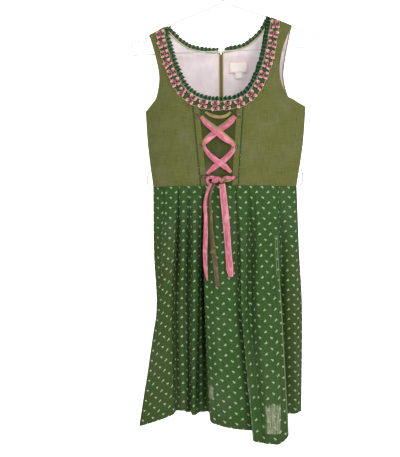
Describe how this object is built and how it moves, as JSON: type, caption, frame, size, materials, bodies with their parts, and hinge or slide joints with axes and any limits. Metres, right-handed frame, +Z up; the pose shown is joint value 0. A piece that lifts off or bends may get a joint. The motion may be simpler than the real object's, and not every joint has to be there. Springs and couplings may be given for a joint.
{
  "type": "dirndl dress on wire hanger",
  "caption": "Sleeveless laced folk dress with fitted bodice, ruffled scoop neck with bow trim, ribbon lacing with free tails and a pleated full skirt, hanging on a wire hanger.",
  "frame": {"origin": "point inside the top of the hanger's hook that rests on a rod", "axes": "+Z up, +X to the right as seen from the front, +Y to the back; the front of the dress faces -Y"},
  "size_m": [0.419, 0.207, 1.0477],
  "materials": {
    "wire": "thin white paint, slightly glossy",
    "linen": "matt olive linen with a visible weave",
    "insert": "matt grass-green linen",
    "piping": "matt dark green piping",
    "lining": "pinkish white cotton lining",
    "skirt_cotton": "dark green cotton with a small pale mint print",
    "ruffle_cotton": "dark green gathered cotton",
    "trim_band": "green box-pleated ribbon with pale cord edges",
    "trim_pink": "folded pink ribbon with a soft sheen",
    "pink_satin": "pink satin ribbon",
    "olive_ribbon": "olive ribbon",
    "zip_tape": "olive woven tape",
    "zip_metal": "dull greenish metal",
    "hook_metal": "dark antiqued metal",
    "thread": "brown twisted thread",
    "label": "plain off-white woven label"
  },
  "bodies": {
    "dress": {"hanger_arm_left": "wire", "hanger_arm_right_bar": "wire", "hanger_hook": "wire", "bodice_front_left": "linen", "bodice_front_right": "linen", "placket_left": "linen", "placket_right": "linen", "bodice_back_left": "linen", "bodice_back_right": "linen", "front_insert": "insert", "piping_left": "piping", "piping_right": "piping", "lining_back_left": "lining", "lining_back_right": "lining", "neck_label": "label", "skirt_front": "skirt_cotton", "skirt_back_right": "skirt_cotton", "skirt_back_left": "skirt_cotton", "zip_tape": "zip_tape", "zip_slider": "zip_metal", "neck_ruffle_front": "ruffle_cotton", "neck_ruffle_back_left": "ruffle_cotton", "neck_ruffle_back_right": "ruffle_cotton", "trim_band": "trim_band", "trim_bow_01": "trim_pink", "trim_bow_02": "trim_pink", "trim_bow_03": "trim_pink", "trim_bow_04": "trim_pink", "trim_bow_05": "trim_pink", "trim_bow_06": "trim_pink", "trim_bow_07": "trim_pink", "trim_bow_08": "trim_pink", "trim_bow_09": "trim_pink", "trim_bow_10": "trim_pink", "trim_bow_11": "trim_pink", "trim_bow_12": "trim_pink", "trim_bow_13": "trim_pink", "trim_bow_14": "trim_pink", "trim_bow_15": "trim_pink", "trim_bow_16": "trim_pink", "trim_bow_17": "trim_pink", "trim_bow_18": "trim_pink", "trim_bow_19": "trim_pink", "trim_bow_20": "trim_pink", "hook_left_top": "hook_metal", "hook_left_middle": "hook_metal", "hook_left_bottom": "hook_metal", "hook_right_top": "hook_metal", "hook_right_middle": "hook_metal", "hook_right_bottom": "hook_metal", "lace_left": "pink_satin", "lace_right": "pink_satin", "lace_knot": "pink_satin", "lace_tail_left": "pink_satin", "lace_tail_right": "pink_satin", "olive_loop": "olive_ribbon", "lace_tail_olive": "olive_ribbon", "thread_loop_left": "thread", "thread_loop_right": "thread"},
    "pull_tab": {"zip_pull": "zip_metal"}
  },
  "joints": [
    {"name": "zip_pull_swing", "type": "hinge", "parent": "dress", "child": "pull_tab", "pos_m": [-0.00521, 0.03361, -0.20441], "axis": [1, 0, 0], "range_deg": [0, 140]}
  ]
}
